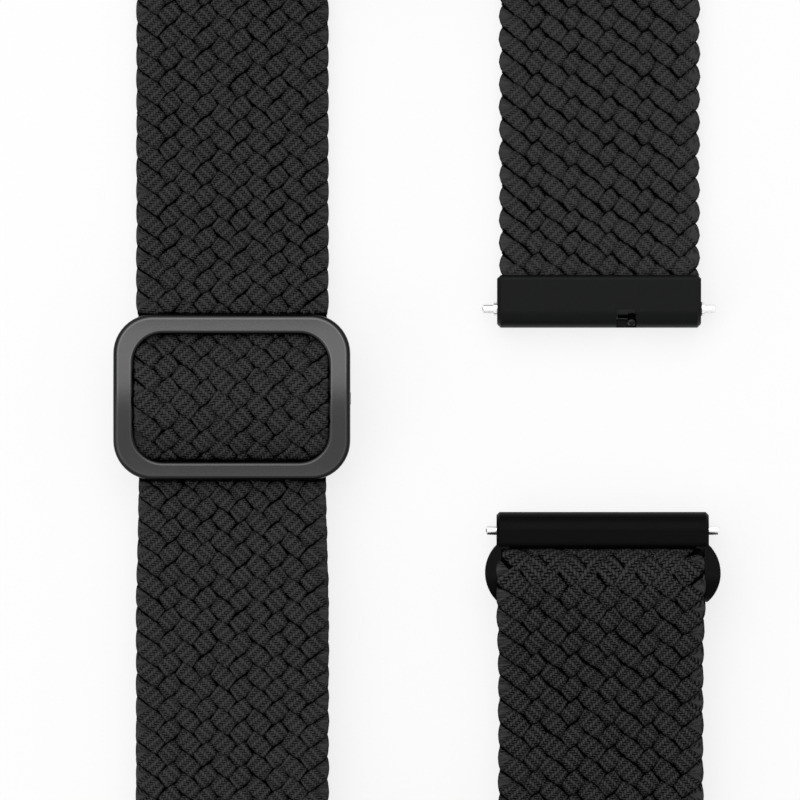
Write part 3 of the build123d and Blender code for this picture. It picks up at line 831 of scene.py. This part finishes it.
def yarn_parts(tree):
    """Fine tubular braid on each strand: floats two cells long, along and square to a line that lies across
    the strap wherever the strand is on top. A float's height is a half sine across times a flatter one
    along. The floats that lie across the strap stand out, because the strands are pulled lengthwise."""
    around, along = tube_place(tree)
    place = own_place(tree)
    wander = (noise(tree, place, wander_scale, 1.0) - 0.5) * wander_reach
    way = own_value(tree, "way")
    level = (along * math.cos(float_slope) + way * around * math.sin(float_slope)) / float_cell
    upright = (along * math.sin(float_slope) - way * around * math.cos(float_slope)) / float_width + wander
    level_cell = level.floor()
    upright_cell = upright.floor()
    level_shows = (level_cell + upright_cell).within(float_cycle).below(level_cells)
    level_run = (level + upright_cell).within(float_cycle)
    upright_run = (upright + level_cell).within(float_cycle)
    level_height = ((upright - upright_cell).wave() ** cross_round) * rounded(level_run)
    upright_height = ((level - level_cell).wave() ** along_round) * rounded(upright_run)
    upright_height = under_height + (1 - under_height) * upright_height
    height = level_shows * level_height + (1 - level_shows) * upright_height
    height = 1.0 - (1.0 - height) * own_value(tree, "relief")
    fuzz = noise(tree, place, fuzz_scale, 2.0)
    patches = noise(tree, place, patch_scale, 2.0)
    # Painted shade: the tone falls towards yarn_dark in the grooves between floats, where the height is low; fuzz and
    # patches add random tone.
    tone = height ** own_value(tree, "contrast") * tone_gain + (fuzz - 0.5) * fuzz_share
    tone = tone * (1 - patch_share / 2 + patch_share * patches)
    colour = mix_colour(tone.maths("MINIMUM", tone, 1.0), yarn_dark, yarn_light)
    # Painted crease shade: black where the shade value falls, at the strands' sides, where they dip and beside the
    # slider's frame.
    lit = (own_value(tree, "shade") + (height - crease_level) * crease_relief).step(*crease_steps)
    return {
        "Base Color": mix_colour(lit, painted_crease_shade, colour),
        "Normal": bumps(tree, height + fuzz * fuzz_rise, yarn_bump, bump_depth),
    }


def rounded(run):
    """Height along a float that lies on top for two cells out of four."""
    arch = (run * (2 / float_cycle)).wave()
    return arch.maths("ABSOLUTE", arch) ** end_round


yarn = surface("braided_yarn", {"Roughness": 0.8, "Specular IOR Level": 0.02}, yarn_parts)


def strap_piece(name, first_length, last_length, nodes):
    """One stretch of the braid that stands for these solids of the frame."""
    points, along, around, values = strand_tubes(first_length, last_length)
    piece = tube_mesh(name, points, along, around, values)
    piece.data.materials.append(yarn)
    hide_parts(*nodes)
    return piece


ends = stretch_ends
cap_end_length = 0.7
apex_top = sum(ends["top_turn"]) / 2
apex_low = sum(ends["outer_turn"]) / 2
apex_back = sum(ends["inner_turn"]) / 2
cap_side = strap_piece("strap_cap_side", cap_end_length, apex_top, ["cap_run", "top_turn"])
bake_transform(cap_side)
upper_side = strap_piece("strap_upper_side", apex_top, ends["hump_1"][0], ["top_turn", "upper_run"])
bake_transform(upper_side)
hump = strap_piece("strap_hump", ends["hump_1"][0], ends["hump_4"][1], ["slider_hump"])
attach(hump, "slider")
lower_side = strap_piece("strap_lower_side", ends["lower_run"][0], apex_low, ["lower_run", "bottom_turn_outer"])
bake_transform(lower_side)
loop_side = strap_piece("strap_loop_side", apex_low, ends["loop_run"][1], ["bottom_turn_outer", "loop_run"])
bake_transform(loop_side)
bight = strap_piece("strap_bight", ends["bight_1"][0], ends["bight_3"][1], ["bight"])
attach(bight, "loop_end")
loop_back = strap_piece("strap_loop_back", ends["loop_tail"][0], apex_back, ["loop_tail", "bottom_turn_inner"])
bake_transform(loop_back)
lower_back = strap_piece("strap_lower_back", apex_back, ends["lower_tail"][1], ["bottom_turn_inner", "lower_tail"])
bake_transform(lower_back)
tail_fold = strap_piece("strap_tail_fold", ends["fold_1"][0], ends["fold_4"][1], ["tail_fold"])
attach(tail_fold, "slider")


# Stitches. Two rows of black polyester thread that sew the end of the tail's fold down on the tail,
# in running stitch: half of each stitch lies on the underside and half on the hidden top.
stitch_rows = (-1.75, -2.45)
stitch_half = 7.3
stitch_pitch = 1.46
stitch_turn = 0.2
thread_r = 0.13
thread_twist = 0.62
thread_plies = 3
thread_points = 8
thread_flat = 0.25
thread_bump = 0.6
# Thread colours: thread_light on the plies and thread_ply_shade between them as painted shade.
thread_light = linear(70, 70, 71)
thread_ply_shade = linear(6, 6, 6)
rings_per_stitch = 28
thread_low_z = 0.07
thread_top_z = (3.02, 2.72)


def thread_paths():
    """Centre lines of the rows. Along the row the place gains a sine, which holds it back at the two
    passages through the braid, and the height is a cosine pressed flat at its tops."""
    count = round(2 * stitch_half / stitch_pitch)
    turn = np.arange(count * rings_per_stitch + 1) / rings_per_stitch
    cosine = np.cos(2 * math.pi * turn)
    x = left_x - stitch_half + stitch_pitch * (turn + stitch_turn * np.sin(4 * math.pi * turn) / 2)
    paths = []
    for row, top_z in zip(stitch_rows, thread_top_z):
        middle = (thread_low_z + top_z) / 2
        z = middle + (top_z - thread_low_z) / 2 * np.sign(cosine) * np.abs(cosine) ** thread_flat
        paths.append(np.stack([x, np.full_like(x, pin_y + row), z], 1))
    return np.array(paths)


def thread_tubes(paths):
    """Round tubes along lines that lie in planes across the strap."""
    forward = unit(np.gradient(paths, axis=1))
    aside = np.broadcast_to(np.array([0.0, 1.0, 0.0]), forward.shape)
    up = np.cross(forward, aside)
    turn = np.arange(thread_points + 1) / thread_points
    angle = (turn[:-1] * 2 * math.pi)[None, None, :, None]
    points = paths[:, :, None] + thread_r * (aside[:, :, None] * np.cos(angle) + up[:, :, None] * np.sin(angle))
    around = np.broadcast_to(turn * 2 * math.pi * thread_r, (paths.shape[1], len(turn)))
    return points, running_length(paths), around


def twisted(tree):
    """Three-ply thread: slanting stripes, with painted shade between the plies."""
    around, along = tube_place(tree)
    ply = (around / (2 * math.pi * thread_r) + along / thread_twist) * thread_plies
    height = (ply - ply.floor()).wave()
    colour = mix_colour(height, thread_ply_shade, thread_light)
    return {"Base Color": colour, "Normal": bumps(tree, height, thread_bump, bump_depth)}


stitches = tube_mesh("fold_stitches", *thread_tubes(thread_paths()), {})
stitches.data.materials.append(surface("sewing_thread", {"Roughness": 0.45, "Specular IOR Level": 0.2}, twisted))
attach(stitches, "slider")


# Metal. The slider and both ends are die cast and coated, satin dark grey and satin black. The spring bars
# are turned steel, their tubes pressed into the two ends, and each sliding tip has a lever to pull it in.
coat_grain = 9000.0
steel_grain = 6000.0
patch_ratio = 12
grain_depth = 0.01
grain_bump = 0.35
slider_rough = (0.2, 0.27)
end_rough = (0.35, 0.45)
bright_rough = (0.15, 0.25)
dark_rough = (0.3, 0.4)
slider_face = linear(64, 64, 64)
# Painted shade: steel_housing_shade is the steel's colour inside the housing, where tubes and levers lie in shade;
# steel_bright is the tips' own bright steel.
steel_housing_shade = linear(40, 41, 41)
steel_bright = linear(243, 243, 244)
bars_x = 15.51
bright_from = 8.5
bright_past = 8.6


def satin(scale, low, high):
    """Fine blasted grain in a coating: small bumps, and a roughness between two values."""

    def build(tree):
        place = own_place(tree)
        rough = low + (high - low) * noise(tree, place, scale / patch_ratio, 2.0)
        return {"Roughness": rough, "Normal": bumps(tree, noise(tree, place, scale, 3.0), grain_bump, grain_depth)}

    return build


def coated(name, colour, specular):
    """Black coating of the two ends, with a faint shine."""
    values = {"Base Color": colour, "Metallic": 0.0, "Specular IOR Level": specular}
    return surface(name, values, satin(coat_grain, *end_rough))


slider_metal = surface("slider_metal", {"Base Color": slider_face, "Metallic": 1.0}, satin(coat_grain, *slider_rough))
end_metal = coated("end_metal", linear(12, 13, 13), 0.08)
loop_metal = coated("loop_metal", linear(6, 6, 6), 0.035)


def turned(tree):
    """Turned steel: bright on the tips outside the housing, and dark inside it as painted shade."""
    off_middle = add_node(tree, "ShaderNodeSeparateXYZ", None, {0: own_place(tree)}) - bars_x * MM
    far = off_middle.maths("ABSOLUTE", off_middle).step(bright_from * MM, bright_past * MM)
    look = satin(steel_grain, *bright_rough)(tree)
    look["Base Color"] = mix_colour(far, steel_housing_shade, steel_bright)
    return look


bar_steel = surface("bar_steel", {"Metallic": 1.0}, turned)
steel_in_housing_shade = surface("steel_in_housing_shade", {"Base Color": steel_housing_shade, "Metallic": 1.0}, satin(steel_grain, *dark_rough))
for node_name, node_object in body_nodes.items():
    if node_name in ("slider_frame", "slider_pin"):
        finish = slider_metal
    elif node_name == "cap_housing":
        finish = end_metal
    elif node_name == "loop_connector":
        finish = loop_metal
    elif "tip" in node_name:
        finish = bar_steel
    # Tubes and levers take the painted shade of the housing.
    elif "bar_" in node_name or "lever" in node_name:
        finish = steel_in_housing_shade
    else:
        finish = yarn
    node_object.data.materials.clear()
    node_object.data.materials.append(finish)

# Slider frame: one die-cast ring with rounded bevels, bowed a little to the wrist, whose side bars deepen
# into cheeks that hold the pin. The strap runs under its two bars and over the pin, and so holds it.
frame_centre = (left_x - 0.02, slider_y)
slider_corner = 3.3
window_corner = 2.45
frame_top = 5.7
frame_low = 4.0
frame_bow = 0.5
outer_bevel = 0.4
inner_bevel = 0.3
low_bevel = 0.2
bevel_rest = 0.06
belly_r = 4.949
belly_z = 5.949
belly_least = 0.01
bar_points = (26, 10)
arc_points = 12
bevel_points = 6
top_shares = (0, 0.25, 0.5, 0.75, 1)
# Painted rims of the slider: steps and colours of the painted dark reflection on its bevels and sides, and of the
# painted highlight on the edges of its top face.
bevel_shade_step = (0.05, 0.5)
edge_highlight_step = (0.55, 1.0)
slider_painted_dark = linear(36, 36, 36)
slider_painted_highlight = linear(78, 78, 78)


def rounded_loop(size, corner, middle):
    """Points round a rounded rectangle, with the same count for every size."""
    points = []
    arcs = []
    for quarter, (sign_x, sign_y) in enumerate([(1, -1), (1, 1), (-1, 1), (-1, -1)]):
        angle = math.pi / 2 * (quarter - 1 + np.arange(arc_points + 1) / arc_points)
        centre = np.array([sign_x * (size[0] / 2 - corner), sign_y * (size[1] / 2 - corner)])
        arcs.append(centre + corner * np.stack([np.cos(angle), np.sin(angle)], 1))
    for quarter, arc in enumerate(arcs):
        count = bar_points[quarter % 2]
        share = (np.arange(1, count) / count)[:, None]
        points.append(arc)
        points.append(arc[-1] + (arcs[(quarter + 1) % 4][0] - arc[-1]) * share)
    return np.concatenate(points) + np.array(middle)


def outer_loop(inset):
    """The ring's outer outline, moved in."""
    size = (slider_size[0] - 2 * inset, slider_size[1] - 2 * inset)
    return rounded_loop(size, slider_corner - inset, frame_centre)


def inner_loop(outset):
    """The window's outline, moved out."""
    size = (window_size[0] + 2 * outset, window_size[1] + 2 * outset)
    return rounded_loop(size, window_corner + outset, window_centre)


def on_top(loop, drop):
    """Points of a loop on the top face, which is bowed by a cosine, or under it by a drop."""
    turn = 2 * math.pi * (loop[:, 1] - slider_y) / slider_size[1]
    return np.column_stack([loop, frame_top - frame_bow * (1 - np.cos(turn)) / 2 - drop])


def on_bottom(loop, rise):
    """Points of a loop on the underside, or above it by a rise. Its two bellies are arcs about the pin."""
    belly = belly_z - np.sqrt(np.maximum(belly_r**2 - (loop[:, 1] - pin_y) ** 2, belly_least))
    return np.column_stack([loop, np.minimum(frame_low, belly) + rise])


def closed_grid(name, rows, row_shading):
    """Mesh of a grid of points that closes on itself both ways, with its faces outward. row_shading has a value for
    each row of the grid, kept at its points as painted_rim_shading, the painted highlight and shade of its rims."""
    count, width = rows.shape[:2]
    index = np.arange(count * width).reshape(count, width)
    below = np.roll(index, -1, axis=0)
    quads = np.stack([index, np.roll(index, -1, axis=1), np.roll(below, -1, axis=1), below], -1).reshape(-1, 4)
    mesh = bpy.data.meshes.new(name)
    mesh.from_pydata((rows.reshape(-1, 3) * MM).tolist(), [], quads.tolist())
    mesh.polygons.foreach_set("use_smooth", np.ones(len(quads), bool))
    painted_rim_shading = mesh.attributes.new("painted_rim_shading", "FLOAT", "POINT")
    painted_rim_shading.data.foreach_set("value", np.repeat(row_shading, width).astype(np.float32))
    mesh.validate()
    return new_object(name, mesh)


def painted_rim_coat(tree):
    """The satin coating with painted rims: a painted highlight on the two edges of the top face, and a painted dark
    reflection where the bevels fall away and on the sides. The painted_rim_shading value is 0.5 on the plain face, 1 on
    an edge and 0 on a side."""
    look = satin(coat_grain, *slider_rough)(tree)
    painted_rim_shading = own_value(tree, "painted_rim_shading")
    base = mix_colour(painted_rim_shading.step(*bevel_shade_step), slider_painted_dark, slider_face)
    look["Base Color"] = mix_colour(painted_rim_shading.step(*edge_highlight_step), base, slider_painted_highlight)
    return look


def bevelled(outline, size, angle):
    """A loop on a rounded bevel, from the side at angle 0 to the top face at a quarter turn."""
    return on_top(outline(size * (1 - math.cos(angle))), size * (1 - math.sin(angle)))


slider_coat_painted_rims = surface("slider_coat_painted_rims", {"Metallic": 1.0}, painted_rim_coat)
quarter_turn = np.linspace(0, math.pi / 2, bevel_points)
# Painted light for each row of the ring: 0 on the sides and outer bevel rows as painted dark reflection, 1 as a painted
# highlight where a bevel meets the top face, 0.5 on the plain face.
bevel_shading = [0.0, 0.0, 0.05, 0.1, 0.2, 1.0]
side_shading = [0.0, 0.0]
frame_shading = [*side_shading, *bevel_shading, *([0.5] * len(top_shares)), *bevel_shading[::-1], *side_shading]
flat_from = outer_loop(outer_bevel + bevel_rest)
flat_to = inner_loop(inner_bevel + bevel_rest)
frame_rows = [on_bottom(outer_loop(low_bevel), 0.0), on_bottom(outer_loop(0.0), low_bevel)]
frame_rows += [bevelled(outer_loop, outer_bevel, angle) for angle in quarter_turn]
frame_rows += [on_top(flat_from + (flat_to - flat_from) * share, 0.0) for share in top_shares]
frame_rows += [bevelled(inner_loop, inner_bevel, angle) for angle in quarter_turn[::-1]]
frame_rows += [on_bottom(inner_loop(0.0), low_bevel), on_bottom(inner_loop(low_bevel), 0.0)]
slider_ring = closed_grid("slider_ring", np.array(frame_rows)[::-1], np.array(frame_shading)[::-1])
slider_ring.data.materials.append(slider_coat_painted_rims)
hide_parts("slider_frame")
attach(slider_ring, "slider")
